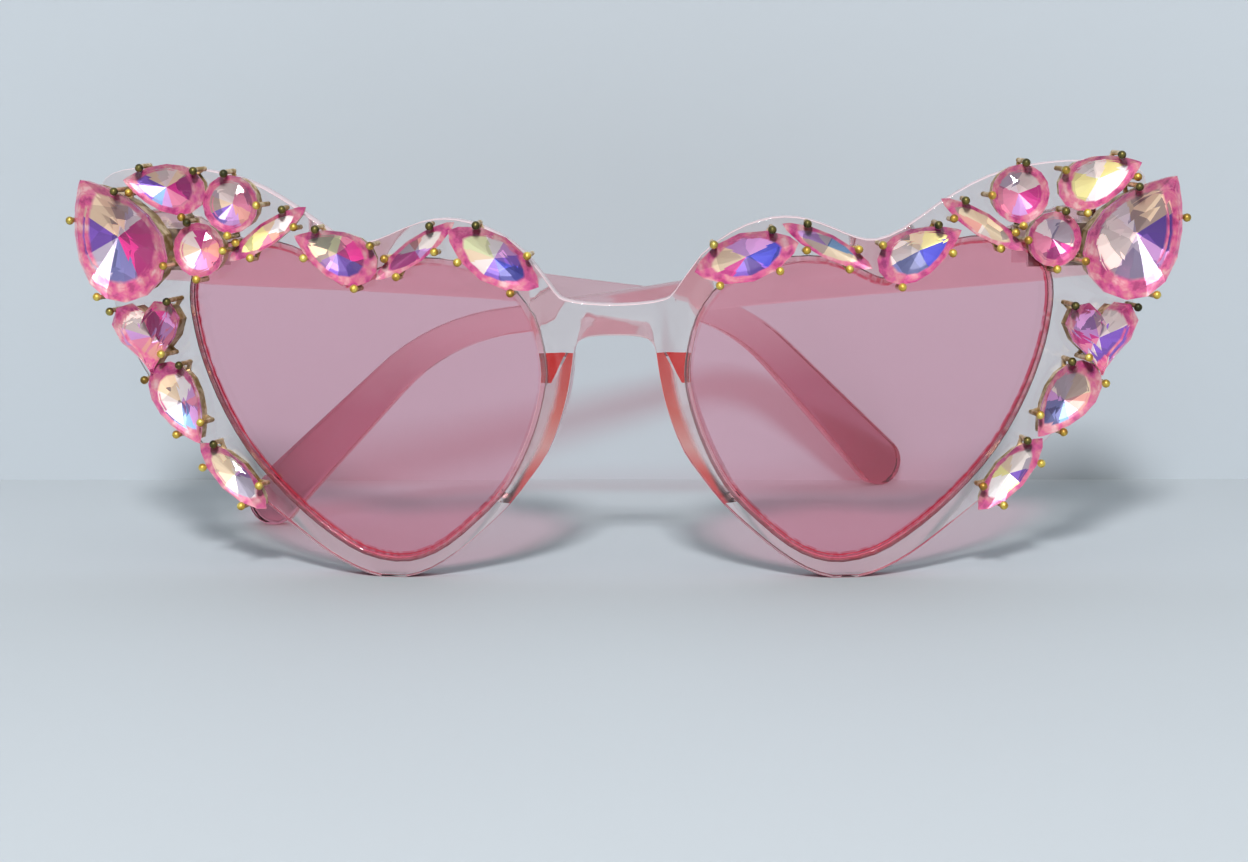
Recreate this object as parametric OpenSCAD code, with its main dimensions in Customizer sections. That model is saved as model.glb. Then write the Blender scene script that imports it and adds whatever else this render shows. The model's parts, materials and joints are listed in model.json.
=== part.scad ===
// Heart shaped sunglasses: a clear cat-eye front with crystals set along its upper rim,
// tinted lenses and two folding arms. Millimetres, with +Z up. X runs to the viewer's right
// and Y goes back from the front, so left and right are the viewer's own.
// The origin is on the front face, at the middle of the bridge's underside.

/* [Front] */
// Width of the bridge, between the two lens openings
bridge_w = 21; // [18:0.5:26]
// Width of the front on the outer side of each lens opening
side_w = 13.9; // [12:0.1:17]
// Width of the rim below a lens opening
rim_b = 2.9; // [2.4:0.1:4]
// Height of the front's top corners over the lens openings
top_h = 11; // [9:0.2:14]
// Thickness of the front
front_t = 3.8; // [3.4:0.1:4.6]
// Radius that the front is curved to, round the face
wrap_r = 260; // [220:5:400]

/* [Lenses] */
// Width of one lens opening
lens_w = 50.6; // [46:0.2:58]
// Height of one lens opening
lens_h = 44.7; // [40:0.1:52]
// Thickness of a lens
lens_t = 2; // [1.6:0.1:2.4]
// Depth of the groove that holds the lens edge
groove_d = 0.8; // [0.5:0.1:1]

/* [Nose pads] */
// Length of a nose pad, down the inner side of its rim
pad_len = 21; // [16:0.5:24]
// How far a nose pad stands out behind the front
pad_d = 6.5; // [4:0.5:8]

/* [Arms] */
// Thickness of an arm
arm_t = 3.2; // [2.4:0.1:3.6]
// Height of an arm at its hinge
arm_root_h = 9.6; // [8:0.2:11.6]
// Height of an arm at its slimmest
arm_mid_h = 4.1; // [3.6:0.1:5]
// Height of the ear piece
ear_h = 8; // [6.5:0.1:8.6]
// Length of an arm from its hinge to where it starts to bend
straight_len = 89; // [85:1:92]
// Length of the bend behind the ear
bend_len = 22; // [19:1:26]
// Length of the ear piece from the bend to its round tip
ear_len = 28.5; // [26:0.5:31]
// Slope of the straight stretch
arm_slope = 8.5; // [7:0.5:10]
// Slope of the ear piece
ear_slope = 44; // [39:0.5:46]
// How far the left arm is folded in at rest
fold_angle_left = 57; // [55:1:59]
// How far the right arm is folded in at rest
fold_angle_right = 77; // [75:1:80]

/* [Hinges] */
// Distance from the side of the front in to its hinge
hinge_inset = 7; // [6.5:0.5:11]
// Radius of a hinge knuckle
knuckle_r = 1.2; // [1:0.1:1.4]
// Height of a hinge over all three knuckles
hinge_h = 6; // [5:0.2:8]
// Length of a hinge leaf
leaf_len = 9; // [6:0.5:11]
// Thickness of a hinge leaf
leaf_t = 0.7; // [0.5:0.1:0.8]
// Radius of the hinge screw
screw_r = 0.55; // [0.4:0.05:0.6]

/* [Stones] */
// Length and width of the large pear on the corner
corner_pear = [19.2, 13.7]; // [12:0.1:20]
// Length and width of the pears on the side, top and cleft
small_pear = [12.9, 7.2]; // [6:0.1:13.4]
// Length and width of the heart stone
heart_stone = [10.5, 10.7]; // [7:0.1:11]
// Length and width of the upper round stone
upper_round = [8.3, 8.3]; // [5:0.1:8.6]
// Length and width of the lower round stone
lower_round = [7.8, 7.8]; // [5:0.1:8]
// Length and width of the full navettes
wide_navette = [15, 7]; // [5:0.1:15.4]
// Length and width of the navettes low on the sides
side_navette = [13.6, 5]; // [4:0.1:14]
// Length and width of the slim navettes
slim_navette = [14.2, 3.4]; // [3:0.1:14.4]
// Radius of the ball at the end of a claw
claw_r = 0.6; // [0.5:0.02:0.66]
// Thickness of the seat plate behind a stone
seat_t = 0.5; // [0.4:0.1:0.8]

/* [Hidden] */
front_w = bridge_w + 2 * (lens_w + side_w); // over both sides, without the stones
front_h = rim_b + lens_h + top_h;
lens_x = (bridge_w + lens_w) / 2; // the middle of a lens opening
clearance = 0.1;
overrun = 1;
round_fn = 64;
wrap_fn = 720;

// One half of the front's outline, clockwise from the middle of the bridge's top edge:
// shares of half its width and of its height above the heart tips
front_shares = [
    [0, 0.669], [0.05, 0.672], [0.093, 0.681], [0.114, 0.702], [0.163, 0.788], [0.219, 0.841],
    [0.271, 0.868], [0.319, 0.877], [0.365, 0.869], [0.411, 0.847], [0.453, 0.825], [0.491, 0.819],
    [0.54, 0.844], [0.605, 0.901], [0.669, 0.949], [0.733, 0.98], [0.807, 0.996], [0.88, 1],
    [0.953, 0.993], [0.992, 0.971], [1, 0.932], [0.999, 0.819], [0.989, 0.708], [0.96, 0.589],
    [0.909, 0.469], [0.837, 0.355], [0.76, 0.259], [0.677, 0.172], [0.603, 0.098], [0.555, 0.054],
    [0.504, 0.019], [0.456, 0], [0.408, 0], [0.359, 0.021], [0.308, 0.063], [0.256, 0.119],
    [0.203, 0.184], [0.163, 0.249], [0.129, 0.312], [0.105, 0.387], [0.089, 0.461],
    [0.08, 0.529], [0.075, 0.568], [0.061, 0.588], [0.032, 0.595], [0, 0.596]];

// The right lens opening, clockwise from the cleft of its heart: shares of half its width
// from its middle, and of its height above its lowest point
lens_shares = [
    [0.1, 0.872], [0.19, 0.904], [0.348, 0.964], [0.49, 0.993], [0.64, 1], [0.798, 0.989],
    [0.917, 0.955], [0.984, 0.897], [1, 0.826], [0.988, 0.758], [0.957, 0.671], [0.897, 0.568],
    [0.81, 0.459], [0.688, 0.345], [0.534, 0.242], [0.364, 0.15], [0.19, 0.074], [0.024, 0.021],
    [-0.154, 0], [-0.296, 0.012], [-0.439, 0.053], [-0.593, 0.126], [-0.735, 0.206],
    [-0.826, 0.282], [-0.897, 0.365], [-0.949, 0.445], [-0.984, 0.521], [-1, 0.593],
    [-0.984, 0.673], [-0.937, 0.767], [-0.854, 0.839], [-0.743, 0.89], [-0.6, 0.924],
    [-0.431, 0.944], [-0.249, 0.942], [-0.103, 0.915], [0.012, 0.882]];

// A nose pad seen from the side: shares of its depth and of its length
pad_shares = [
    [-0.6, 1], [0, 1], [0.3, 0.96], [0.68, 0.82], [0.93, 0.62], [1, 0.42], [0.9, 0.22],
    [0.62, 0.07], [0.25, 0], [-0.6, 0]];

// The origin's height above the heart tips, as a share of the front's height
bridge_share = front_shares[len(front_shares) - 1][1];
pad_top_share = 0.55; // top of the nose pads, as a share of the front's height

function front_z(share) = (share - bridge_share) * front_h;
floor_z = front_z(0);

// Middle of each end of the arm's straight stretch, its bend and its ear piece, as
// distance from the hinge and height above it
bend_r = bend_len * 180 / PI / (ear_slope - arm_slope);
arm_a = straight_len * [cos(arm_slope), -sin(arm_slope)];
function bend_at(a) = arm_a + bend_r * [sin(a) - sin(arm_slope), cos(a) - cos(arm_slope)];
arm_c = bend_at(ear_slope) + ear_len * [cos(ear_slope), -sin(ear_slope)];
hinge_z = floor_z - arm_c[1] + ear_h / 2; // the round tips of the arms touch the surface

// The hinge axis stands off the back of the front by hinge_gap, square to its curve
hinge_gap = knuckle_r + leaf_t + 3 * clearance;
hinge_turn = asin((front_w / 2 - hinge_inset) / wrap_r);
back_r = wrap_r - front_t;
axis_r = back_r - hinge_gap;
leaf_turn = asin(leaf_len / 2 / back_r); // lays the flat leaf across the back's curve
hinge_at = [axis_r * sin(hinge_turn), wrap_r - axis_r * cos(hinge_turn), hinge_z];
splay = 4; // how far an arm opens past straight back
arm_w0 = knuckle_r + 3 * clearance; // inner face of an arm, out from its hinge axis
knuckle_h = hinge_h / 3;
head_r = 1.8 * screw_r;
head_t = 1.1 * screw_r;

// Along an arm's straight stretch, shares of its length, and how much of the height that it
// has at the hinge over its slimmest is left there
root_shares = [0, 0.1, 0.22, 0.38, 0.6, 0.8];
slim_shares = [1, 0.95, 0.75, 0.46, 0.18, 0.05];
bend_share = 0.35; // how much of the ear piece's extra height the bend gains
bend_steps = 8;
ear_steps = 3;
tip_steps = 12;
curve_steps = 2;

// Smooths a closed outline through its points, with curve_steps steps between each pair
function spline(a, b, c, d, t) =
    ((2 * b) + (c - a) * t + (2 * a - 5 * b + 4 * c - d) * t * t + (3 * b - a - 3 * c + d) * t * t * t) / 2;
function smooth(p) = let (m = len(p))
    [for (i = [0:m - 1]) for (j = [0:curve_steps - 1])
        spline(p[(i + m - 1) % m], p[i], p[(i + 1) % m], p[(i + 2) % m], j / curve_steps)];

// Moves a clockwise outline out by d
function grow(p, d) = let (m = len(p))
    [for (i = [0:m - 1]) let (t = p[(i + 1) % m] - p[(i + m - 1) % m])
        p[i] + d / norm(t) * [-t[1], t[0]]];

half_front = [for (s = front_shares) [s[0] * front_w / 2, front_z(s[1])]];
far_half = [for (i = [len(half_front) - 2:-1:1]) [-half_front[i][0], half_front[i][1]]];
// The heart tips are flat, so that the front stands on them
front_outline = [for (p = smooth(concat(half_front, far_half))) [p[0], max(p[1], floor_z)]];
lens_outline = smooth([for (s = lens_shares) [lens_x + s[0] * lens_w / 2, floor_z + rim_b + s[1] * lens_h]]);
groove_outline = grow(lens_outline, groove_d);
lens_edge = grow(lens_outline, groove_d - clearance);

slab_depth = wrap_r - sqrt(wrap_r * wrap_r - front_w * front_w / 4) + front_t + pad_d + overrun;
lens_y = (front_t - lens_t) / 2; // depth of the lens's face behind the front face

// An outline in the front's plane, cut through everything behind it
module slab(outline) {
    translate([0, slab_depth, 0]) rotate([90, 0, 0])
        linear_extrude(slab_depth + overrun) polygon(outline);
}

// All that lies deeper than d behind the front's curved face
module behind(d, spare = overrun) {
    translate([0, wrap_r, floor_z - spare])
        cylinder(r = wrap_r - d, h = front_h + 2 * spare, $fn = wrap_fn);
}

// The curved layer from depth a to depth b behind the front's face
module layer(a, b) {
    difference() {
        behind(a);
        behind(b, 2 * overrun);
    }
}

module on_side(side) {
    if (side < 0) mirror([1, 0, 0]) children();
    else children();
}

module frame_front() {
    color([0.96, 0.86, 0.87, 0.5]) difference() {
        intersection() {
            slab(front_outline);
            layer(0, front_t);
        }
        for (side = [-1, 1]) on_side(side) {
            slab(lens_outline);
            intersection() {
                slab(groove_outline);
                layer(lens_y - clearance, lens_y + lens_t + clearance);
            }
        }
    }
}

module lens(side) {
    color([0.78, 0.5, 0.62, 0.6]) on_side(side) intersection() {
        slab(lens_edge);
        layer(lens_y, lens_y + lens_t);
    }
}

// The pad follows the inner rim between the nose and the lens
module nose_pad(side) {
    color([0.9, 0.3, 0.2, 0.8]) on_side(side) difference() {
        intersection() {
            slab(front_outline);
            behind(front_t);
            translate([0, front_t, front_z(pad_top_share) - pad_len]) rotate([90, 0, 90])
                linear_extrude(lens_x)
                    polygon(smooth([for (s = pad_shares) [s[0] * pad_d, s[1] * pad_len]]));
        }
        slab(lens_outline);
    }
}

// An arm seen from the side, as distance from the hinge and height above it
function across(a) = [sin(a), cos(a)];
function edge(up) = concat(
    [for (i = [0:len(root_shares) - 1])
        root_shares[i] * arm_a + up / 2 * across(arm_slope)
            * (arm_mid_h + slim_shares[i] * (arm_root_h - arm_mid_h))],
    [for (i = [0:bend_steps]) let (t = i / bend_steps, a = arm_slope + t * (ear_slope - arm_slope))
        bend_at(a) + up / 2 * across(a) * (arm_mid_h + t * bend_share * (ear_h - arm_mid_h))],
    [for (i = [1:ear_steps]) let (t = i / ear_steps)
        bend_at(ear_slope) + t * (arm_c - bend_at(ear_slope))
            + up / 2 * across(ear_slope)
                * (arm_mid_h + (bend_share + t * (1 - bend_share)) * (ear_h - arm_mid_h))]);
tip_arc = [for (i = [1:tip_steps - 1]) let (a = 90 - 180 * i / tip_steps)
    arm_c + ear_h / 2 * (cos(a) * [cos(ear_slope), -sin(ear_slope)] + sin(a) * across(ear_slope))];
function reverse(p) = [for (i = [len(p) - 1:-1:0]) p[i]];

end_in = knuckle_r + 2 * clearance; // how far an arm runs forward of its hinge axis
root_end = [for (up = [-1, 1]) [-end_in - arm_t, up * arm_root_h / 2]];

module at_hinge(side, fold) {
    on_side(side) translate(hinge_at) rotate([0, 0, fold]) children();
}

module arm(side, fold) {
    color([0.95, 0.72, 0.76, 0.7]) at_hinge(side, fold) difference() {
        translate([arm_w0, 0, 0]) rotate([90, 0, 90]) linear_extrude(arm_t)
            polygon(concat([root_end[1]], edge(1), tip_arc, reverse(edge(-1)), [root_end[0]]));
        // The front end is cut to lie along the back of the front when the arm is open
        translate([arm_w0, -end_in, 0]) rotate([0, 0, hinge_turn + splay])
            translate([-arm_t, -3 * arm_t, -arm_root_h])
                cube([4 * arm_t, 3 * arm_t, 2 * arm_root_h]);
    }
}

module knuckle(z, h) {
    translate([0, 0, z]) cylinder(r = knuckle_r, h = h, $fn = round_fn);
}

module hinge_bore() {
    translate([0, 0, -hinge_h]) cylinder(r = screw_r + clearance / 2, h = 2 * hinge_h, $fn = round_fn);
}

// The front's leaf: a plate on the back of the front with the upper and lower knuckles
module front_leaf(side) {
    color("silver") on_side(side) translate(hinge_at) rotate([0, 0, hinge_turn]) difference() {
        union() {
            translate([0, -hinge_gap, -hinge_h / 2]) rotate([0, 0, -leaf_turn])
                translate([-leaf_len, 0, 0]) cube([leaf_len, leaf_t, hinge_h]);
            for (z = [-hinge_h / 2, hinge_h / 2 - knuckle_h]) {
                knuckle(z, knuckle_h);
                translate([-knuckle_r, leaf_t / 2 - hinge_gap, z])
                    cube([1.5 * knuckle_r, hinge_gap - leaf_t / 2, knuckle_h]);
            }
        }
        hinge_bore();
    }
}

// The arm's leaf: a plate on the arm's inner face with the middle knuckle
module arm_leaf(side, fold) {
    middle_h = knuckle_h - 2 * clearance;
    color("silver") at_hinge(side, fold) difference() {
        union() {
            knuckle(-middle_h / 2, middle_h);
            translate([0, 0, -middle_h / 2])
                cube([arm_w0, knuckle_r + leaf_t, middle_h]);
            translate([arm_w0 - leaf_t, knuckle_r + 2 * clearance, -hinge_h / 2])
                cube([leaf_t, leaf_len, hinge_h]);
        }
        hinge_bore();
    }
}

module hinge_screw(side) {
    slot_w = screw_r / 2;
    color("lightgrey") on_side(side) translate(hinge_at) difference() {
        union() {
            translate([0, 0, -hinge_h / 2]) cylinder(r = screw_r, h = hinge_h, $fn = round_fn);
            translate([0, 0, hinge_h / 2]) cylinder(r = head_r, h = head_t, $fn = round_fn);
        }
        translate([-head_r, -slot_w / 2, hinge_h / 2 + head_t / 2]) cube([2 * head_r, slot_w, head_t]);
    }
}

// Shapes of the stones
PEAR = 0;
NAVETTE = 1;
ROUND = 2;
HEART = 3;

// Each stone: its name, shape and size, its place and turn on the left side and on the right
// side, and the turns at which its claws hold it. A place is shares of half the front's
// width and of the front's height.
stone_places_shares = [
    ["lower_navette", NAVETTE, side_navette, [0.735, 0.246, 43], [0.738, 0.249, 47], [44, 125, 235, 305]],
    ["side_pear", PEAR, small_pear, [0.836, 0.423, -118], [0.84, 0.425, -129], [55, 143, 225, 307]],
    ["heart", HEART, heart_stone, [0.89, 0.586, -96], [0.902, 0.575, -89], [106, 247, 312]],
    ["corner_pear", PEAR, corner_pear, [0.947, 0.831, 59], [0.968, 0.825, 57], [58, 141, 232, 303]],
    ["top_pear", PEAR, small_pear, [0.853, 0.953, 9], [0.9, 0.957, 20], [56, 135, 236, 318]],
    ["upper_round", ROUND, upper_round, [0.72, 0.914, 0], [0.749, 0.926, 0], [84, 181, 272]],
    ["lower_round", ROUND, lower_round, [0.786, 0.802, 0], [0.814, 0.816, 0], [72, 180, 271]],
    ["outer_navette", NAVETTE, slim_navette, [0.656, 0.841, -33], [0.684, 0.853, -32], [52, 125, 234, 302]],
    ["cleft_pear", PEAR, small_pear, [0.52, 0.795, 23], [0.565, 0.794, 26], [56, 133, 226, 305]],
    ["hump_navette", NAVETTE, slim_navette, [0.372, 0.802, -35], [0.396, 0.808, -27], [56, 124, 250, 305]],
    ["bridge_navette", NAVETTE, wide_navette, [0.221, 0.785, 32], [0.246, 0.785, 15], [55, 121, 233, 301]]];

stone_steps = [16, 12, 16, 16]; // facets round each shape
pear_peak_share = 1.247; // makes the pear's curve as wide as its width
pear_blunt_share = 0.8; // how soon the pear widens from its tip
navette_blunt_share = 0.5;
heart_waves_shares = [13, 5, 2, 1];
heart_span_shares = [29, 2.5];
crown_share = 0.17; // heights of a stone's crown, girdle and pavilion over its width
girdle_share = 0.06;
pavilion_share = 0.24;
mid_share = 0.8; // the crown's middle ring and its table, over the stone's outline
mid_height_share = 0.6;
table_share = 0.52;
facet_turn = 2; // turn over which an outline's direction is taken
seat_inner_share = 0.45; // a seat's opening, the inside of its wall and its edge, over the outline
wall_share = 0.78;
seat_outer_share = 0.9;
wall_rise_share = 0.72; // height of a seat's wall, over the stone's pavilion
post_share = 0.58; // width of a claw's post, its ball's lean and height, over the ball's radius
claw_lean_share = 0.33;
claw_rise_share = 1.35;
strip_share = 0.75; // width of the strip from the seat to a claw, over the post's

function heart_wave(t) = heart_waves_shares[0] * cos(t) - heart_waves_shares[1] * cos(2 * t)
    - heart_waves_shares[2] * cos(3 * t) - heart_waves_shares[3] * cos(4 * t);

// A point on a stone's outline, with the stone's tip at turn 0
function rim_point(shape, size, t) =
    shape == PEAR ? [size[0] / 2 * cos(t),
        size[1] / 2 * pear_peak_share * sin(t) * pow(sin(t / 2), pear_blunt_share)] :
    shape == NAVETTE ? [size[0] / 2 * cos(t), size[1] / 2 * sin(t) * pow(abs(sin(t)), navette_blunt_share)] :
    shape == ROUND ? [size[0] / 2 * cos(t), size[1] / 2 * sin(t)] :
    [-(heart_wave(t + 180) + heart_span_shares[1]) / heart_span_shares[0] * size[0],
        size[1] / 2 * pow(sin(t), 3)];

function ring(shape, size, share, z, n, shift) =
    [for (i = [0:n - 1]) let (p = share * rim_point(shape, size, (i + shift) * 360 / n)) [p[0], p[1], z]];

// A cut stone: a pointed back, a narrow girdle and a crown of two rows of facets round a table
module stone(shape, size) {
    n = stone_steps[shape];
    w = size[1];
    z_a = pavilion_share * w;
    z_b = z_a + girdle_share * w;
    z_c = z_b + mid_height_share * crown_share * w;
    z_d = z_b + crown_share * w;
    points = concat(
        ring(shape, size, 1, z_a, n, 0), ring(shape, size, 1, z_b, n, 0),
        ring(shape, size, mid_share, z_c, n, 0.5), ring(shape, size, table_share, z_d, n, 0),
        [[0, 0, 0], [0, 0, z_d]]);
    faces = [for (i = [0:n - 1]) let (j = (i + 1) % n) each [
        [4 * n, i, j],
        [i, n + i, n + j], [i, n + j, j],
        [n + i, 2 * n + i, n + j], [2 * n + i, 2 * n + j, n + j],
        [2 * n + i, 3 * n + j, 2 * n + j], [3 * n + i, 3 * n + j, 2 * n + i],
        [4 * n + 1, 3 * n + j, 3 * n + i]]];
    polyhedron(points, faces);
}

// The way out of a stone, square to its outline
function way_out(shape, size, t) =
    let (d = rim_point(shape, size, t + facet_turn) - rim_point(shape, size, t - facet_turn))
        [d[1], -d[0]] / norm(d);

function flat_ring(shape, size, share) =
    [for (p = ring(shape, size, share, 0, stone_steps[shape], 0)) [p[0], p[1]]];

// A claw setting: an open seat with a low wall, and claws that reach over the stone's edge
module claws(shape, size, turns) {
    wall_h = seat_t + wall_rise_share * pavilion_share * size[1];
    claw_top = seat_t + clearance + (pavilion_share + girdle_share) * size[1] + claw_rise_share * claw_r;
    post_r = post_share * claw_r;
    difference() {
        linear_extrude(wall_h) polygon(flat_ring(shape, size, seat_outer_share));
        translate([0, 0, -overrun]) linear_extrude(seat_t + 2 * overrun)
            polygon(flat_ring(shape, size, seat_inner_share));
        translate([0, 0, seat_t]) linear_extrude(wall_h) polygon(flat_ring(shape, size, wall_share));
    }
    for (t = turns) {
        rim = rim_point(shape, size, t);
        foot = rim * (seat_inner_share + wall_share) / 2;
        out = way_out(shape, size, t);
        post = rim + (post_r + clearance) * out;
        strip = post - foot;
        translate(foot) rotate([0, 0, atan2(strip[1], strip[0])])
            translate([0, -strip_share * post_r, 0])
                cube([norm(strip), 2 * strip_share * post_r, seat_t]);
        translate(post) {
            cylinder(r = post_r, h = claw_top, $fn = round_fn / 2);
            translate(concat(-claw_lean_share * claw_r * out, claw_top))
                sphere(r = claw_r, $fn = round_fn / 2);
        }
    }
}

// Puts a stone or its setting on the curved face of the front
module on_front(side, s) {
    place = side < 0 ? s[3] : s[4];
    along = place[0] * front_w / 2;
    turn = asin(along / wrap_r);
    on_side(side) translate([along, wrap_r - sqrt(wrap_r * wrap_r - along * along), front_z(place[1])])
        rotate([0, 0, turn]) rotate([90, 0, 0]) rotate([0, 0, place[2]]) children();
}

module crystal(side, s) {
    color([0.88, 0.45, 0.68]) on_front(side, s)
        translate([0, 0, seat_t + clearance]) stone(s[1], s[2]);
}

module setting(side, s) {
    color([0.8, 0.62, 0.25]) on_front(side, s) claws(s[1], s[2], s[5]);
}

SIDES = [["left", -1], ["right", 1]];

frame_front();
lens(-1);  // lens_left
lens(1);  // lens_right
nose_pad(-1);  // nose_pad_left
nose_pad(1);  // nose_pad_right
arm(-1, fold_angle_left);  // arm_left
arm(1, fold_angle_right);  // arm_right
front_leaf(-1);  // front_leaf_left
front_leaf(1);  // front_leaf_right
arm_leaf(-1, fold_angle_left);  // arm_leaf_left
arm_leaf(1, fold_angle_right);  // arm_leaf_right
hinge_screw(-1);  // hinge_screw_left
hinge_screw(1);  // hinge_screw_right
for (side = SIDES) for (s = stone_places_shares) {
    crystal(side[1], s);
    setting(side[1], s);
}
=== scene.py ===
import json
import math

import bmesh
import bpy
from mathutils import Matrix, Vector
from mathutils.kdtree import KDTree

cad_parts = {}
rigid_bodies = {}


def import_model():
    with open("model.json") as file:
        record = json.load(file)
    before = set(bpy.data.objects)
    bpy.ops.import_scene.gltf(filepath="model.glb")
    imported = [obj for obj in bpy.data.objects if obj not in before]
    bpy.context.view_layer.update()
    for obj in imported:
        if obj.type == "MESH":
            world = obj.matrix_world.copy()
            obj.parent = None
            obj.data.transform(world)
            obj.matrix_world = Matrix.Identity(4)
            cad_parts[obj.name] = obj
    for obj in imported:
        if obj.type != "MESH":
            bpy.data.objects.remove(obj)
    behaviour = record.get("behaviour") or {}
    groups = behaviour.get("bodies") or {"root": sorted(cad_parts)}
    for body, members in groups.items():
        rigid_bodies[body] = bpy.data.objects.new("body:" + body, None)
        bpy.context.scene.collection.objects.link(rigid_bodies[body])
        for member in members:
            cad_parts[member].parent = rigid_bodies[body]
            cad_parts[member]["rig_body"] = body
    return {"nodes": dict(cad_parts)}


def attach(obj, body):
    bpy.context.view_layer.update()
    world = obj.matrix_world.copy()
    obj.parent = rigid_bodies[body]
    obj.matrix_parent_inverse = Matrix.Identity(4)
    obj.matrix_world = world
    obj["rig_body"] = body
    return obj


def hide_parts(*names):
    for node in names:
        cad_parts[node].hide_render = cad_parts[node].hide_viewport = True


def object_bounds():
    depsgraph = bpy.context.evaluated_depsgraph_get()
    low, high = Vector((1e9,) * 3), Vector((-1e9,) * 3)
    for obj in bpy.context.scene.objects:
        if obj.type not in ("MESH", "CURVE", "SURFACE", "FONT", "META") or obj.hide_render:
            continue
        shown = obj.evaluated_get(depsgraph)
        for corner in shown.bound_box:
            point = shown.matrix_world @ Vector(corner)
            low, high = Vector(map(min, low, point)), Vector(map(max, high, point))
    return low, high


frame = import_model()
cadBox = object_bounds()
nodes = frame["nodes"]
scene = bpy.context.scene
floorHeight = cadBox[0].z
mm = 0.001
wrapRadius = 260 * mm  # the front is bent round an upright cylinder
black, white = (0, 0, 0), (1, 1, 1)  # the ends of a mask
print("frame loaded, floor at", round(floorHeight, 5))


# nodes and groups that the materials share

def newMaterial(name):
    mat = bpy.data.materials.new(name)
    mat.use_nodes = True
    return mat, mat.node_tree, mat.node_tree.nodes["Principled BSDF"]


def fill(node, values):
    for socket, value in values.items():
        node.inputs[socket].default_value = value
    return node


def place(tree, kind, values=None, **settings):
    node = tree.nodes.new(kind)
    for name, value in settings.items():
        setattr(node, name, value)
    return fill(node, values or {})


def attribute(tree, name):
    return place(tree, "ShaderNodeAttribute", attribute_name=name).outputs["Fac"]


def objectNoise(tree, scale, detail):
    # noise that stays with the piece
    coords = place(tree, "ShaderNodeTexCoord")
    noise = place(tree, "ShaderNodeTexNoise", {"Scale": scale, "Detail": detail})
    tree.links.new(coords.outputs["Object"], noise.inputs["Vector"])
    return noise.outputs["Fac"]


def objectAxes(tree):
    coords = place(tree, "ShaderNodeTexCoord")
    parts = place(tree, "ShaderNodeSeparateXYZ")
    tree.links.new(coords.outputs["Object"], parts.inputs["Vector"])
    return parts.outputs


def span(tree, source, start, end, **settings):
    # 0 at the start and 1 at the end
    node = place(tree, "ShaderNodeMapRange", {"From Min": start, "From Max": end}, **settings)
    tree.links.new(source, node.inputs["Value"])
    return node.outputs["Result"]


def ramp(tree, source, stops, steps=False):
    node = place(tree, "ShaderNodeValToRGB")
    node.color_ramp.interpolation = "CONSTANT" if steps else "LINEAR"
    marks = node.color_ramp.elements
    while len(marks) < len(stops):
        marks.new(0.5)
    for mark, (at, colour) in zip(marks, stops):
        mark.position = at
        mark.color = (*colour, 1)
    tree.links.new(source, node.inputs["Fac"])
    return node.outputs["Color"]


def mathStep(tree, kind, first, second):
    # one step of arithmetic between sockets or plain numbers
    node = place(tree, "ShaderNodeMath", operation=kind)
    for at, value in enumerate((first, second)):
        if isinstance(value, (int, float)):
            node.inputs[at].default_value = value
        else:
            tree.links.new(value, node.inputs[at])
    return node.outputs["Value"]


def blend(tree, share, first, second, kind="MIX"):
    node = place(tree, "ShaderNodeMix", data_type="RGBA", blend_type=kind)
    for socket, value in (("Factor", share), ("A", first), ("B", second)):
        spot = next(i for i in node.inputs if i.name == socket and i.enabled)
        if isinstance(value, (int, float)):
            spot.default_value = value
        elif isinstance(value, tuple):
            spot.default_value = (*value, 1)
        else:
            tree.links.new(value, spot)
    return next(o for o in node.outputs if o.enabled)


def mixShaders(tree, share, first, second):
    mix = place(tree, "ShaderNodeMixShader")
    tree.links.new(share, mix.inputs["Fac"])
    tree.links.new(first, mix.inputs[1])
    tree.links.new(second, mix.inputs[2])
    return mix.outputs["Shader"]


def newGroup(name, inputs, outputs):
    group = bpy.data.node_groups.new(name, "ShaderNodeTree")
    put = group.interface.new_socket
    for label in inputs:
        put(label, in_out="INPUT", socket_type="NodeSocketFloat")
    for label, kind in outputs:
        put(label, in_out="OUTPUT", socket_type="NodeSocket" + kind)
    return group, group.nodes.new("NodeGroupInput"), group.nodes.new("NodeGroupOutput")


polishGrain = {"waveDetail": 1.0, "waveRough": 0.4, "waveDepth": 0.3 * mm, "smearScale": 350.0,
               "smearDetail": 4.0}


def makePolish(grain):
    # soft waves of moulded plastic, with faint smears in its gloss
    group, start, end = newGroup("polish", ("Wave Scale", "Wave", "Gloss", "Smear"),
                                 (("Roughness", "Float"), ("Normal", "Vector")))
    coords = place(group, "ShaderNodeTexCoord")
    waves = place(group, "ShaderNodeTexNoise", {"Detail": grain["waveDetail"],
                                                "Roughness": grain["waveRough"]})
    smears = objectNoise(group, grain["smearScale"], grain["smearDetail"])
    bump = place(group, "ShaderNodeBump", {"Distance": grain["waveDepth"]})
    spread = place(group, "ShaderNodeMath", operation="MULTIPLY_ADD")
    link = group.links.new
    link(coords.outputs["Object"], waves.inputs["Vector"])
    link(start.outputs["Wave Scale"], waves.inputs["Scale"])
    link(start.outputs["Wave"], bump.inputs["Strength"])
    link(waves.outputs["Fac"], bump.inputs["Height"])
    link(smears, spread.inputs[0])
    link(start.outputs["Smear"], spread.inputs[1])
    link(start.outputs["Gloss"], spread.inputs[2])
    link(spread.outputs["Value"], end.inputs["Roughness"])
    link(bump.outputs["Normal"], end.inputs["Normal"])
    return group


polish = makePolish(polishGrain)


def polishSurface(tree, shader, look):
    group = place(tree, "ShaderNodeGroup", node_tree=polish)
    fill(group, {"Wave Scale": look["waveScale"], "Wave": look["wave"], "Gloss": look["gloss"],
                 "Smear": look["smear"]})
    tree.links.new(group.outputs["Roughness"], shader.inputs["Roughness"])
    tree.links.new(group.outputs["Normal"], shader.inputs["Normal"])


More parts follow.
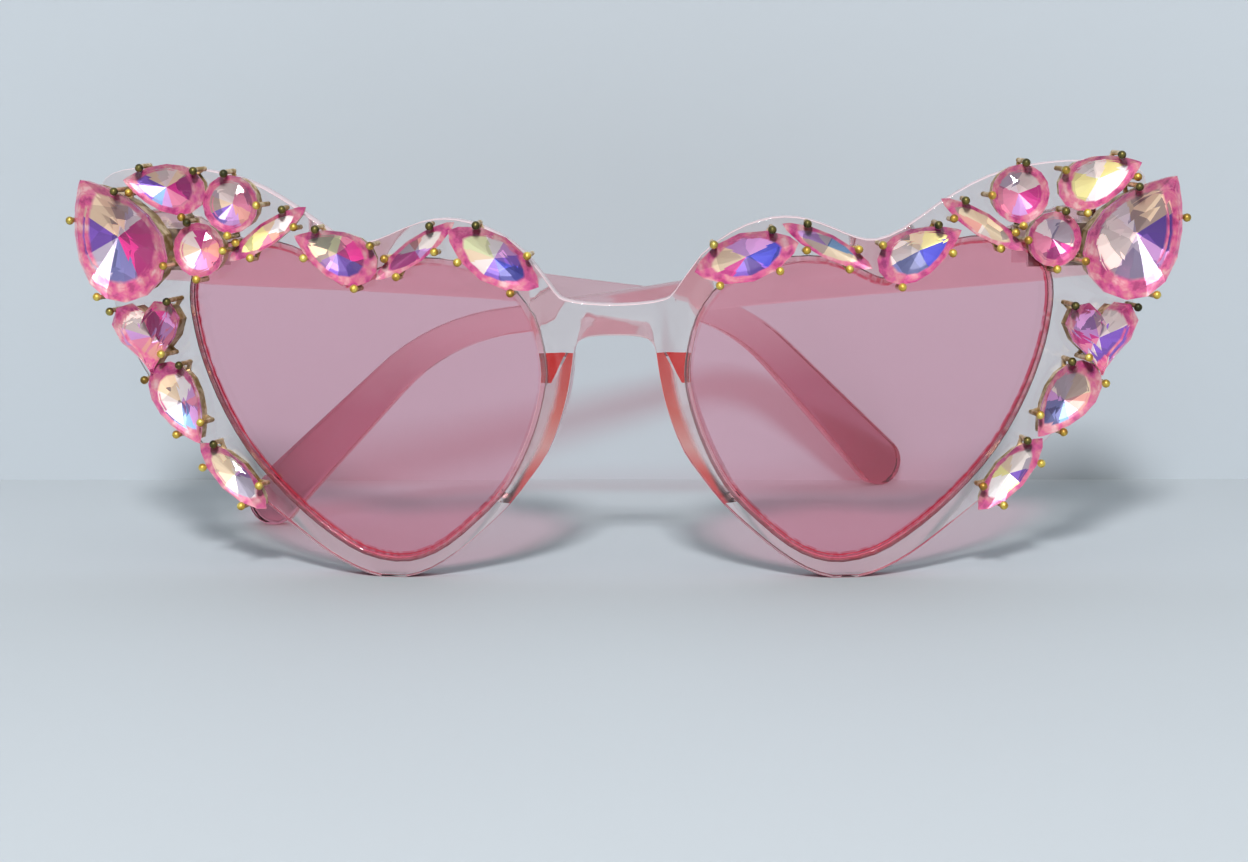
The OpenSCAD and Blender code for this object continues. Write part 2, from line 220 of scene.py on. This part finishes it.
def clearMaterial(name, look):
    # clear tinted plastic or glass, which lets the lamps through to what is behind it
    mat, tree, shader = newMaterial(name)
    end = tree.nodes["Material Output"]
    fill(shader, {"Base Color": (*look["surface"], 1), "IOR": look["ior"], "Transmission Weight": 1.0})
    if "edge" in look:
        edge = attribute(tree, "edge")
        tree.links.new(blend(tree, edge, look["surface"], look["edge"]), shader.inputs["Base Color"])
    polishSurface(tree, shader, look)
    rays = place(tree, "ShaderNodeLightPath")
    through = place(tree, "ShaderNodeBsdfTransparent", {"Color": (*look["shadow"], 1)})
    mixed = mixShaders(tree, rays.outputs["Is Shadow Ray"], shader.outputs["BSDF"], through.outputs["BSDF"])
    tree.links.new(mixed, end.inputs["Surface"])
    depth = place(tree, "ShaderNodeVolumeAbsorption", {"Color": (*look["tint"], 1),
                                                       "Density": look["density"]})
    tree.links.new(depth.outputs["Volume"], end.inputs["Volume"])
    return mat


# camera, stage and light

cameraView = {"distance": 400 * mm, "aside": 1.19 * mm, "height": 77.6 * mm, "yaw": 3.5, "pitch": 8.0,
              "roll": -0.58, "lens": 82.5, "nearest": 10 * mm, "farthest": 20.0}
stageLook = {"wallBehind": 91.5 * mm, "reach": 3.0, "wallHeight": 1.6, "rough": 0.6, "shine": 0.2,
             "floor": (0.56, 0.6, 0.64), "wall": (0.54, 0.59, 0.64),
             "cloudScale": 5.0, "cloudDetail": 3.0, "cloudShade": 0.97, "cloudFrom": 0.3, "cloudTo": 0.7}
lamps = {
    "keyLamp": {"at": (0.0, -0.95, 0.69), "size": 0.14, "power": 12.8},
    "topLamp": {"at": (0.0, -0.25, 1.1), "size": 0.9, "power": 1.7},
}
# the room's brightness at shares of the way up, from straight down to straight up
roomLook = {"shares": ((0.4, 0.1), (0.52, 0.13), (0.85, 0.22)), "tint": (0.96, 1.0, 0.89),
            "backdrop": (0.60, 0.63, 0.67)}
rayLimits = {"max_bounces": 24, "transmission_bounces": 20, "glossy_bounces": 8,
             "transparent_max_bounces": 24, "sample_clamp_indirect": 6,
             "caustics_refractive": False, "caustics_reflective": False}


def makeCamera(look):
    data = bpy.data.cameras.new("camera")
    data.lens = look["lens"]
    camera = bpy.data.objects.new("camera", data)
    yaw, pitch, roll = (math.radians(look[k]) for k in ("yaw", "pitch", "roll"))
    turned = Matrix.Rotation(yaw, 4, "Z")
    spot = turned @ Vector((look["aside"], -look["distance"], 0))
    spot.z += floorHeight + look["height"]
    camera.matrix_world = (Matrix.Translation(spot) @ turned @ Matrix.Rotation(math.pi / 2 - pitch, 4, "X")
                           @ Matrix.Rotation(roll, 4, "Z"))
    data.clip_start, data.clip_end = look["nearest"], look["farthest"]
    scene.collection.objects.link(camera)
    scene.camera = camera


def makePlane(name, size, turn, spot, mat):
    mesh = bpy.data.meshes.new(name)
    bm = bmesh.new()
    bmesh.ops.create_grid(bm, x_segments=1, y_segments=1, size=0.5)
    placed = Matrix.Translation(spot) @ turn @ Matrix.Diagonal((*size, 1, 1))  # the grid is a unit square
    bmesh.ops.transform(bm, verts=bm.verts, matrix=placed)
    bm.to_mesh(mesh)
    bm.free()
    mesh.materials.append(mat)
    plane = bpy.data.objects.new(name, mesh)
    scene.collection.objects.link(plane)


def stageMaterial(name, look, colour, seeThroughBack):
    mat, tree, shader = newMaterial(name)
    fill(shader, {"Roughness": look["rough"], "Specular IOR Level": look["shine"]})
    cloud = objectNoise(tree, look["cloudScale"], look["cloudDetail"])
    darker = [c * look["cloudShade"] for c in colour]
    shades = ramp(tree, cloud, ((look["cloudFrom"], darker), (look["cloudTo"], colour)))
    tree.links.new(shades, shader.inputs["Base Color"])
    if seeThroughBack:
        back = place(tree, "ShaderNodeNewGeometry").outputs["Backfacing"]
        through = place(tree, "ShaderNodeBsdfTransparent")
        mixed = mixShaders(tree, back, shader.outputs["BSDF"], through.outputs["BSDF"])
        tree.links.new(mixed, tree.nodes["Material Output"].inputs["Surface"])
    return mat


def makeStage(look):
    reach, high = look["reach"], look["wallHeight"]
    makePlane("stageFloor", (reach, reach), Matrix.Identity(4), Vector((0, 0, floorHeight)),
              stageMaterial("paleFloor", look, look["floor"], False))
    makePlane("stageWall", (reach, high), Matrix.Rotation(math.pi / 2, 4, "X"),
              Vector((0, look["wallBehind"], floorHeight + high / 2)),
              stageMaterial("paleWall", look, look["wall"], True))


def makeWorld(look):
    # a pale room, brighter overhead than at the level of the glasses
    world = bpy.data.worlds.new("room")
    world.use_nodes = True
    tree = world.node_tree
    room = tree.nodes["Background"]
    coords = place(tree, "ShaderNodeTexCoord")
    parts = place(tree, "ShaderNodeSeparateXYZ")
    tree.links.new(coords.outputs["Generated"], parts.inputs["Vector"])
    height = span(tree, parts.outputs["Z"], -1.0, 1.0)
    shades = ramp(tree, height, [(at, [c * share for c in look["tint"]]) for at, share in look["shares"]])
    tree.links.new(shades, room.inputs["Color"])
    plain = place(tree, "ShaderNodeBackground", {"Color": (*look["backdrop"], 1)})
    rays = place(tree, "ShaderNodeLightPath")
    seen = mathStep(tree, "MAXIMUM", rays.outputs["Is Camera Ray"], rays.outputs["Is Glossy Ray"])
    seen = mathStep(tree, "MAXIMUM", seen, rays.outputs["Is Transmission Ray"])
    mixed = mixShaders(tree, seen, room.outputs["Background"], plain.outputs["Background"])
    tree.links.new(mixed, tree.nodes["World Output"].inputs["Surface"])
    scene.world = world


def makeLamps():
    for name, look in lamps.items():
        data = bpy.data.lights.new(name, "AREA")
        data.size = look["size"]
        data.energy = look["power"]
        lamp = bpy.data.objects.new(name, data)
        lamp.matrix_world = (Matrix.Translation(look["at"])
                             @ Vector(look["at"]).to_track_quat("Z", "Y").to_matrix().to_4x4())
        scene.collection.objects.link(lamp)


makeCamera(cameraView)
makeStage(stageLook)
makeWorld(roomLook)
makeLamps()
scene.view_settings.view_transform = "Standard"
for setting, limit in rayLimits.items():
    setattr(scene.cycles, setting, limit)
print("camera, stage and light made")


# pieces that stand for a CAD node

def makeCopy(node, suffix):
    copy = bpy.data.objects.new(node + suffix, nodes[node].data.copy())
    copy.data.materials.clear()
    scene.collection.objects.link(copy)
    bm = bmesh.new()
    bm.from_mesh(copy.data)
    return copy, bm


def keepCopy(copy, bm, node, mats):
    bm.to_mesh(copy.data)
    bm.free()
    for mat in mats:
        copy.data.materials.append(mat)
    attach(copy, nodes[node]["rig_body"])
    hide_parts(node)


def behindFront(spot):
    # how far a spot lies behind the front's curved face
    return spot.y - wrapRadius + math.sqrt(wrapRadius * wrapRadius - spot.x * spot.x)


def within(share):
    return min(1, max(0, share))


def markCorners(bm, name, share):
    # a grey mask that a material reads, from a share for each corner of each face
    layer = bm.loops.layers.float_color.new(name)
    for face in bm.faces:
        for loop in face.loops:
            value = share(face, loop.vert.co)
            loop[layer] = (value, value, value, 1)


def roundEdges(bm, look):
    # loose triangles joined, flats merged and edges rounded
    bmesh.ops.remove_doubles(bm, verts=bm.verts, dist=look["join"])
    bmesh.ops.dissolve_limit(bm, angle_limit=math.radians(look["flat"]), verts=bm.verts, edges=bm.edges)
    sharp = [e for e in bm.edges if e.is_manifold and e.calc_face_angle() > math.radians(look["sharp"])]
    bmesh.ops.bevel(bm, geom=sharp, offset=look["round"], offset_type="OFFSET", segments=look["steps"],
                    affect="EDGES", profile=0.5, material=-1, clamp_overlap=True)
    for face in bm.faces:
        face.smooth = True


# walls of the front and edges of the lenses

# the near-black is painted shade, for the dark seen in the clear walls on the openings' outer sides
edgeLook = {"waveScale": 60.0, "wave": 0.1, "gloss": 0.08, "smear": 0.2, "grain": 160.0, "grainDetail": 2.0,
            "colours": ((0.35, (0.55, 0.07, 0.14)), (0.65, (0.78, 0.17, 0.25))),
            "pale": (0.84, 0.62, 0.66), "dark": (0.04, 0.025, 0.025),
            "darkTo": 0.45, "darkFrom": 40 * mm, "darkFull": 62 * mm}
vividLook = {"from": 22 * mm, "lowFrom": -16 * mm, "fade": 8 * mm, "least": 0.2}


def vividAt(face, spot):
    # the rims glow less on their inner sides, except low down
    out, down = abs(spot.x) - vividLook["from"], vividLook["lowFrom"] - spot.z
    return min(1, max(vividLook["least"], out / vividLook["fade"], down / vividLook["fade"]))


def edgeMaterial(look):
    # walls deeper in colour than the clear faces, with a near-black painted shade towards the front on the
    # openings' outer sides
    mat, tree, shader = newMaterial("edgePlastic")
    aside = mathStep(tree, "ABSOLUTE", objectAxes(tree)["X"], 0.0)
    out = span(tree, aside, look["darkFrom"], look["darkFull"])
    near = span(tree, attribute(tree, "depth"), look["darkTo"], 0.0)
    dark = mathStep(tree, "MULTIPLY", out, near)
    mottled = ramp(tree, objectNoise(tree, look["grain"], look["grainDetail"]), look["colours"])
    shades = blend(tree, attribute(tree, "vivid"), look["pale"], mottled)
    tree.links.new(blend(tree, dark, shades, look["dark"]), shader.inputs["Base Color"])
    polishSurface(tree, shader, look)
    return mat


edgePlastic = edgeMaterial(edgeLook)


# front

frontLook = {"surface": (1.0, 0.952, 0.943), "ior": 1.49, "waveScale": 90.0, "wave": 0.06, "gloss": 0.0,
             "smear": 0.06, "shadow": (0.86, 0.87, 0.85), "tint": (0.95, 0.0, 0.1), "density": 10.0,
             "join": 0.002 * mm, "flat": 0.4, "sharp": 40, "round": 0.55 * mm, "steps": 3,
             "wallFacing": 0.8, "wallReach": 2.2 * mm, "thickness": 3.8 * mm,
             "vividFrom": -8 * mm, "vividFade": 12 * mm}


def markWalls(bm, look):
    # every wall gets the edge finish, deep in the openings and low down, and pale round the rest; the deep
    # red low on the outer walls is a painted reflection
    rim = [v.co for side in ("left", "right") for v in nodes["lens_" + side].data.vertices]
    tree = KDTree(len(rim))
    for at, spot in enumerate(rim):
        tree.insert((spot.x, 0, spot.z), at)
    tree.balance()
    inner = set()
    for face in bm.faces:
        middle = face.calc_center_median()
        face.material_index = int(abs(face.normal.y) < look["wallFacing"])
        if tree.find((middle.x, 0, middle.z))[2] < look["wallReach"]:
            inner.add(face)

    def depthAt(face, spot):
        return behindFront(spot) / look["thickness"] if face in inner else 1

    def wallVivid(face, spot):
        if face in inner:
            return vividAt(face, spot)
        # the outer walls: a painted reflection, redder lower down
        return within((look["vividFrom"] - spot.z) / look["vividFade"])

    markCorners(bm, "depth", depthAt)
    markCorners(bm, "vivid", wallVivid)


def makeFront(node, mat):
    copy, bm = makeCopy(node, "Rounded")
    roundEdges(bm, frontLook)
    markWalls(bm, frontLook)
    keepCopy(copy, bm, node, [mat, edgePlastic])


makeFront("frame_front", clearMaterial("frontPlastic", frontLook))
print("front made")


# arms

# the darker colour down the ear piece is painted shade
armLook = {"surface": (1.0, 0.97, 0.975), "ior": 1.49, "waveScale": 40.0, "wave": 0.05, "gloss": 0.02,
           "smear": 0.08, "shadow": (0.9, 0.86, 0.86), "tint": (0.97, 0.0, 0.12), "density": 110.0,
           "deepFrom": -2 * mm, "deepTo": -16 * mm, "deep": (0.74, 0.39, 0.49),
           "join": 0.002 * mm, "flat": 0.4, "sharp": 40, "round": 0.9 * mm, "steps": 4}


def armMaterial(look):
    # clear pink plastic, darker down the ear piece: a painted shade for the dark surroundings seen through
    # it
    mat = clearMaterial("armPlastic", look)
    tree = mat.node_tree
    down = span(tree, objectAxes(tree)["Z"], look["deepFrom"], look["deepTo"])
    shades = ramp(tree, down, ((0.0, look["surface"]), (1.0, look["deep"])))
    tree.links.new(shades, tree.nodes["Principled BSDF"].inputs["Base Color"])
    return mat


def makeArm(node, mat):
    copy, bm = makeCopy(node, "Rounded")
    roundEdges(bm, armLook)
    keepCopy(copy, bm, node, [mat])


armPlastic = armMaterial(armLook)
for side in ("left", "right"):
    makeArm("arm_" + side, armPlastic)
print("arms made")


# lenses

lensLook = {"surface": (1.0, 1.0, 1.0), "ior": 1.46, "waveScale": 25.0, "wave": 0.02, "gloss": 0.0,
            "smear": 0.04, "shadow": (0.93, 0.88, 0.87), "tint": (0.95, 0.0, 0.28), "density": 270.0,
            "edge": (0.9, 0.16, 0.25),
            "join": 0.002 * mm, "facing": 0.5, "ring": 1.1 * mm, "ringFade": 0.15}


def makeLens(node, mat):
    # a ring along the rim takes a deeper tint
    copy, bm = makeCopy(node, "Glazed")
    bmesh.ops.remove_doubles(bm, verts=bm.verts, dist=lensLook["join"])
    for face in bm.faces:
        face.smooth = abs(face.normal.y) > lensLook["facing"]
        face.material_index = int(not face.smooth)
    rim = {v for f in bm.faces if not f.smooth for v in f.verts}
    ring = set()
    for way in (-1, 1):
        side = [f for f in bm.faces if f.smooth and f.normal.y * way > 0]
        inset = bmesh.ops.inset_region(bm, faces=side, thickness=lensLook["ring"], use_even_offset=True)
        ring.update(inset["faces"])
    markCorners(bm, "edge", lambda face, spot: 0)
    markCorners(bm, "depth", lambda face, spot: 1)
    markCorners(bm, "vivid", vividAt)
    edge = bm.loops.layers.float_color["edge"]
    for face in ring:
        face.smooth = True
        for loop in face.loops:
            share = vividAt(face, loop.vert.co) * (1 if loop.vert in rim else lensLook["ringFade"])
            loop[edge] = (share, share, share, 1)
    keepCopy(copy, bm, node, [mat, edgePlastic])


# nose pads

padLook = {"surface": (1.0, 0.97, 0.97), "ior": 1.2, "waveScale": 120.0, "wave": 0.08, "gloss": 0.0,
           "smear": 0.06, "shadow": (0.85, 0.8, 0.8), "tint": (0.9, 0.0, 0.05), "density": 20.0,
           "join": 0.002 * mm, "gap": 0.02 * mm, "slices": 36,
           "bonded": 0.7, "rimFacing": 0.5, "rimOut": 0.3}
# the bonded side of a pad: a painted red patch at its top, cut slantwise, and a painted red edge towards
# the nose, for colour refracted into the clear pad
refractedRedLook = {"waveScale": 120.0, "wave": 0.05, "gloss": 0.2, "smear": 0.2, "shine": 0.2,
             "patchDown": 0.2, "slantFrom": 0.24, "slantRise": 2.1, "slantGap": 0.04,
             "bandShare": 0.92, "bandFrom": 0.6, "bandTo": 0.3, "patch": (0.82, 0.005, 0.0),
             "band": ((0.0, (0.8, 0.02, 0.01)), (0.2, (0.8, 0.05, 0.03)), (0.4, (0.9, 0.16, 0.12)),
                      (0.62, (1.0, 0.5, 0.5)), (0.8, (0.9, 0.1, 0.09)), (1.0, (0.8, 0.04, 0.07)))}


def refractedRedMaterial(look, top, foot):
    # painted red between a pad and the front, for colour refracted into the clear pad, with nothing where
    # it isn't painted
    mat, tree, shader = newMaterial("padPaint")
    fill(shader, {"Specular IOR Level": look["shine"]})
    across = attribute(tree, "across")
    down = span(tree, objectAxes(tree)["Z"], top, foot)
    slant = mathStep(tree, "ADD", mathStep(tree, "MULTIPLY", down, look["slantRise"]), look["slantFrom"])
    past = mathStep(tree, "SUBTRACT", across, slant)
    patch = mathStep(tree, "MULTIPLY", mathStep(tree, "GREATER_THAN", past, look["slantGap"]),
                     mathStep(tree, "LESS_THAN", down, look["patchDown"]))
    edge = span(tree, across, look["bandFrom"], look["bandTo"], interpolation_type="SMOOTHSTEP")
    band = mathStep(tree, "MULTIPLY", edge, mathStep(tree, "LESS_THAN", past, -look["slantGap"]))
    painted = mathStep(tree, "MAXIMUM", patch, mathStep(tree, "MULTIPLY", band, look["bandShare"]))
    shades = blend(tree, patch, ramp(tree, down, look["band"]), look["patch"])
    tree.links.new(shades, shader.inputs["Base Color"])
    tree.links.new(painted, shader.inputs["Alpha"])
    polishSurface(tree, shader, look)
    return mat


leastRise = 1e-9  # points at one height are not divided by zero


def levelAt(line, height):
    # how far from the middle a line of points runs at one height
    line = sorted(line)
    for (lowZ, lowX), (highZ, highX) in zip(line, line[1:]):
        if height <= highZ:
            break
    rise = max(highZ - lowZ, leastRise)
    return lowX + within((height - lowZ) / rise) * (highX - lowX)


def makePad(node, mat):
    # a painted red skin on the bonded side, for colour refracted into the pad, marked with how far each
    # spot is from the side towards the nose
    copy, bm = makeCopy(node, "Tinted")
    bmesh.ops.remove_doubles(bm, verts=bm.verts, dist=padLook["join"])
    bmesh.ops.translate(bm, verts=bm.verts, vec=(0, padLook["gap"], 0))
    foot, top = (pick(v.co.z for v in bm.verts) for pick in (min, max))
    for step in range(1, padLook["slices"]):
        level = foot + (top - foot) * step / padLook["slices"]
        everything = [*bm.verts, *bm.edges, *bm.faces]
        bmesh.ops.bisect_plane(bm, geom=everything, plane_co=(0, 0, level), plane_no=(0, 0, 1))
    bm.normal_update()
    bonded = [f for f in bm.faces if f.normal.y < -padLook["bonded"]]
    lines = {-1: [], 1: []}
    for vert in {v for f in bonded for v in f.verts}:
        for face in vert.link_faces:
            outward = face.normal.x * math.copysign(1, vert.co.x)
            if abs(face.normal.y) < padLook["rimFacing"] and abs(outward) > padLook["rimOut"]:
                lines[int(math.copysign(1, outward))].append((vert.co.z, abs(vert.co.x)))
    skin = bmesh.ops.duplicate(bm, geom=bonded)["geom"]
    skinVerts = [v for v in skin if isinstance(v, bmesh.types.BMVert)]
    bmesh.ops.translate(bm, verts=skinVerts, vec=(0, -padLook["gap"] / 2, 0))
    for face in skin:
        if isinstance(face, bmesh.types.BMFace):
            face.material_index = 1

    def acrossAt(face, spot):
        near, far = levelAt(lines[-1], spot.z), levelAt(lines[1], spot.z)
        return (abs(spot.x) - near) / (far - near)

    markCorners(bm, "across", acrossAt)
    keepCopy(copy, bm, node, [mat, refractedRedMaterial(refractedRedLook, top, foot)])


lensTint = clearMaterial("lensTint", lensLook)
padPlastic = clearMaterial("padPlastic", padLook)
for side in ("left", "right"):
    makeLens("lens_" + side, lensTint)
    makePad("nose_pad_" + side, padPlastic)
print("lenses and nose pads made")


# crystals

# white stands for painted glints, flashes of light on the facets
foilColours = {
    "white": (1.0, 1.0, 1.0), "cream": (0.90, 0.74, 0.50), "gold": (1.0, 0.98, 0.40),
    "green": (0.80, 0.88, 0.50), "silver": (0.50, 0.48, 0.60), "pearl": (0.90, 0.84, 0.78),
    "sky": (0.20, 0.42, 0.75), "slate": (0.13, 0.16, 0.38), "blue": (0.05, 0.06, 0.52),
    "violet": (0.20, 0.09, 0.54), "lilac": (0.66, 0.36, 0.78), "magenta": (0.65, 0.03, 0.28),
    "pink": (0.86, 0.28, 0.44), "peach": (0.90, 0.44, 0.36)}
# what each stone's foil shows, from the viewer's right and anticlockwise, on the left side and on the right
stoneFoils = {
    "lower_navette": ("lilac pink pearl cream cream silver gold white",
                      "violet pearl cream cream gold white gold lilac"),
    "side_pear": ("pink lilac white cream pearl slate sky lilac",
                  "peach cream pearl pearl lilac slate sky pink"),
    "heart": ("pink lilac magenta pearl lilac pink peach pink",
              "violet pearl pearl lilac magenta pink pearl violet"),
    "corner_pear": ("magenta white cream cream violet silver slate magenta",
                    "violet cream cream white pearl pearl silver lilac"),
    "top_pear": ("magenta cream pearl cream violet sky lilac pink",
                 "white gold white white gold gold white white"),
    "upper_round": ("pink pink pearl pearl cream violet lilac peach",
                    "magenta pearl pearl white pink pink lilac magenta"),
    "lower_round": ("peach pink magenta pearl cream pearl lilac pink",
                    "pearl pearl silver white pink pink magenta magenta"),
    "outer_navette": ("peach white cream pearl gold gold pink peach",
                      "cream pearl cream cream peach pink pearl cream"),
    "cleft_pear": ("magenta pink green green cream lilac violet violet",
                   "blue gold cream cream pearl slate slate blue"),
    "hump_navette": ("lilac pearl peach pearl pearl magenta magenta pink",
                     "sky cream pearl lilac cream pink lilac cream"),
    "bridge_navette": ("violet lilac white green cream pearl violet blue",
                       "blue lilac lilac lilac cream magenta violet violet"),
}
gemLook = {"surface": (1.0, 1.0, 1.0), "ior": 1.5, "waveScale": 30.0, "wave": 0.0, "gloss": 0.0,
           "smear": 0.02, "shadow": (0.98, 0.96, 0.97), "tint": (0.97, 0.0, 0.35), "density": 8.0,
           "join": 0.001 * mm, "behind": 0.25}
# the cell shades over the shards are painted shade and painted sparkle, some past white
foilLook = {"metal": 0.1, "rough": 0.25, "rimFrom": 0.62, "rimTo": 0.68, "cells": 330.0,
            "grain": 620.0, "grainDetail": 3.0,
            "shades": ((0.0, (0.5, 0.48, 0.6)), (0.22, (0.9, 0.9, 0.9)), (0.5, (1.2, 1.2, 1.2)),
                       (0.82, (1.9, 1.8, 1.7))),
            "rim": ((0.32, (0.5, 0.05, 0.22)), (0.44, (0.82, 0.12, 0.36)), (0.56, (0.88, 0.28, 0.38)),
                    (0.7, (1.0, 0.64, 0.64)))}


def foilMaterial(look):
    # mirror foil behind a stone: shards of colour round its point, with painted shade and painted sparkle
    # in small cells over them, and a mottled pink rim
    mat, tree, shader = newMaterial("foil")
    fill(shader, {"Metallic": look["metal"], "Roughness": look["rough"]})
    facet = place(tree, "ShaderNodeAttribute", attribute_name="shard").outputs["Color"]
    coords = place(tree, "ShaderNodeTexCoord")
    cells = place(tree, "ShaderNodeTexVoronoi", {"Scale": look["cells"]})
    picks = place(tree, "ShaderNodeSeparateColor")
    tree.links.new(coords.outputs["Object"], cells.inputs["Vector"])
    tree.links.new(cells.outputs["Color"], picks.inputs["Color"])
    shades = ramp(tree, picks.outputs["Red"], look["shades"], steps=True)
    rim = ramp(tree, objectNoise(tree, look["grain"], look["grainDetail"]), look["rim"])
    edge = ramp(tree, attribute(tree, "outward"), ((look["rimFrom"], black), (look["rimTo"], white)))
    shards = blend(tree, 1.0, facet, shades, "MULTIPLY")
    tree.links.new(blend(tree, edge, shards, rim), shader.inputs["Base Color"])
    return mat


gemGlass = clearMaterial("gemGlass", gemLook)
foil = foilMaterial(foilLook)


def cutStone(node, colours):
    # the pavilion's facets are foil, coloured by the way they lie round the stone
    copy, bm = makeCopy(node, "Cut")
    bmesh.ops.remove_doubles(bm, verts=bm.verts, dist=gemLook["join"])
    pavilion = [f for f in bm.faces if f.normal.y > gemLook["behind"]]
    corners = {v for f in pavilion for v in f.verts}
    point = max(corners, key=lambda v: sum(f in pavilion for f in v.link_faces))
    shard = bm.loops.layers.float_color.new("shard")
    outward = bm.loops.layers.float_color.new("outward")
    for face in bm.faces:
        face.smooth = False
    for face in pavilion:
        face.material_index = 1
        out = face.calc_center_median() - point.co
        turn = math.degrees(math.atan2(out.z, out.x)) % 360
        colour = foilColours[colours[int(turn / 360 * len(colours) + 0.5) % len(colours)]]
        for loop in face.loops:
            loop[shard] = (*colour, 1)
            loop[outward] = (*(black if loop.vert == point else white), 1)
    keepCopy(copy, bm, node, [gemGlass, foil])


for name, words in stoneFoils.items():
    for side, colours in zip(("left", "right"), words):
        cutStone(f"crystal_{side}_{name}", colours.split())
print("crystals cut")


# settings and hinges

# the dark olive on the claws along each stone's top is painted shade
goldLook = {"metal": 0.65, "grain": 700.0, "grainDetail": 2.0, "roughDark": 0.5, "roughLight": 0.28,
            "ball": 1.5 * mm, "darkFrom": 0.62, "darkTo": 0.85,
            "yellow": ((0.35, (0.34, 0.17, 0.03)), (0.5, (0.66, 0.45, 0.07)), (0.62, (0.80, 0.66, 0.16))),
            "dark": ((0.4, (0.03, 0.03, 0.008)), (0.62, (0.16, 0.13, 0.03))),
            "post": ((0.4, (0.42, 0.26, 0.09)), (0.6, (0.85, 0.66, 0.42)))}
steelLook = {"metal": 0.8, "colour": (1.0, 0.93, 0.94), "grain": 600.0, "grainDetail": 3.0,
             "roughDark": 0.25, "roughLight": 0.45}


def makeTarnish():
    # clouds in a metal's finish, which is rougher or smoother in their light parts than in their dark ones
    group, start, end = newGroup("tarnish", ("Grain", "Grain Detail", "Rough Dark", "Rough Light"),
                                 (("Cloud", "Float"), ("Roughness", "Float")))
    coords = place(group, "ShaderNodeTexCoord")
    cloud = place(group, "ShaderNodeTexNoise")
    rough = place(group, "ShaderNodeMapRange")
    link = group.links.new
    link(coords.outputs["Object"], cloud.inputs["Vector"])
    link(start.outputs["Grain"], cloud.inputs["Scale"])
    link(start.outputs["Grain Detail"], cloud.inputs["Detail"])
    link(start.outputs["Rough Dark"], rough.inputs["To Min"])
    link(start.outputs["Rough Light"], rough.inputs["To Max"])
    link(cloud.outputs["Fac"], rough.inputs["Value"])
    link(cloud.outputs["Fac"], end.inputs["Cloud"])
    link(rough.outputs["Result"], end.inputs["Roughness"])
    return group


tarnish = makeTarnish()


def tarnishSurface(tree, shader, look):
    group = place(tree, "ShaderNodeGroup", node_tree=tarnish)
    fill(group, {"Grain": look["grain"], "Grain Detail": look["grainDetail"],
                 "Rough Dark": look["roughDark"], "Rough Light": look["roughLight"]})
    tree.links.new(group.outputs["Roughness"], shader.inputs["Roughness"])
    return group.outputs["Cloud"]


def goldMaterial(look):
    # yellow plating; the claws along a stone's top get a painted shade of dark olive, for the dark
    # surroundings that they reflect
    mat, tree, shader = newMaterial("clawGold")
    fill(shader, {"Metallic": look["metal"]})
    cloud = tarnishSurface(tree, shader, look)
    top = ramp(tree, attribute(tree, "high"), ((look["darkFrom"], black), (look["darkTo"], white)))
    yellow, dark, post = (ramp(tree, cloud, look[k]) for k in ("yellow", "dark", "post"))
    shades = blend(tree, attribute(tree, "behind"), blend(tree, top, yellow, dark), post)
    tree.links.new(shades, shader.inputs["Base Color"])
    return mat


def plateSetting(node, mat):
    copy, bm = makeCopy(node, "Plated")
    heights = [v.co.z for v in bm.verts]
    low, tall = min(heights), max(heights) - min(heights)
    nearest = min(behindFront(v.co) for v in bm.verts)

    def isBehind(face, spot):
        return float(behindFront(face.calc_center_median()) > nearest + goldLook["ball"])

    markCorners(bm, "high", lambda face, spot: (spot.z - low) / tall)
    markCorners(bm, "behind", isBehind)
    keepCopy(copy, bm, node, [mat])


def steelMaterial(look):
    mat, tree, shader = newMaterial("hingeSteel")
    fill(shader, {"Metallic": look["metal"], "Base Color": (*look["colour"], 1)})
    tarnishSurface(tree, shader, look)
    return mat


gold, steel = goldMaterial(goldLook), steelMaterial(steelLook)
for name, node in list(nodes.items()):
    if name.startswith("setting_"):
        plateSetting(name, gold)
    if "leaf" in name or "screw" in name:
        node.data.materials.clear()
        node.data.materials.append(steel)
print("metal finished")
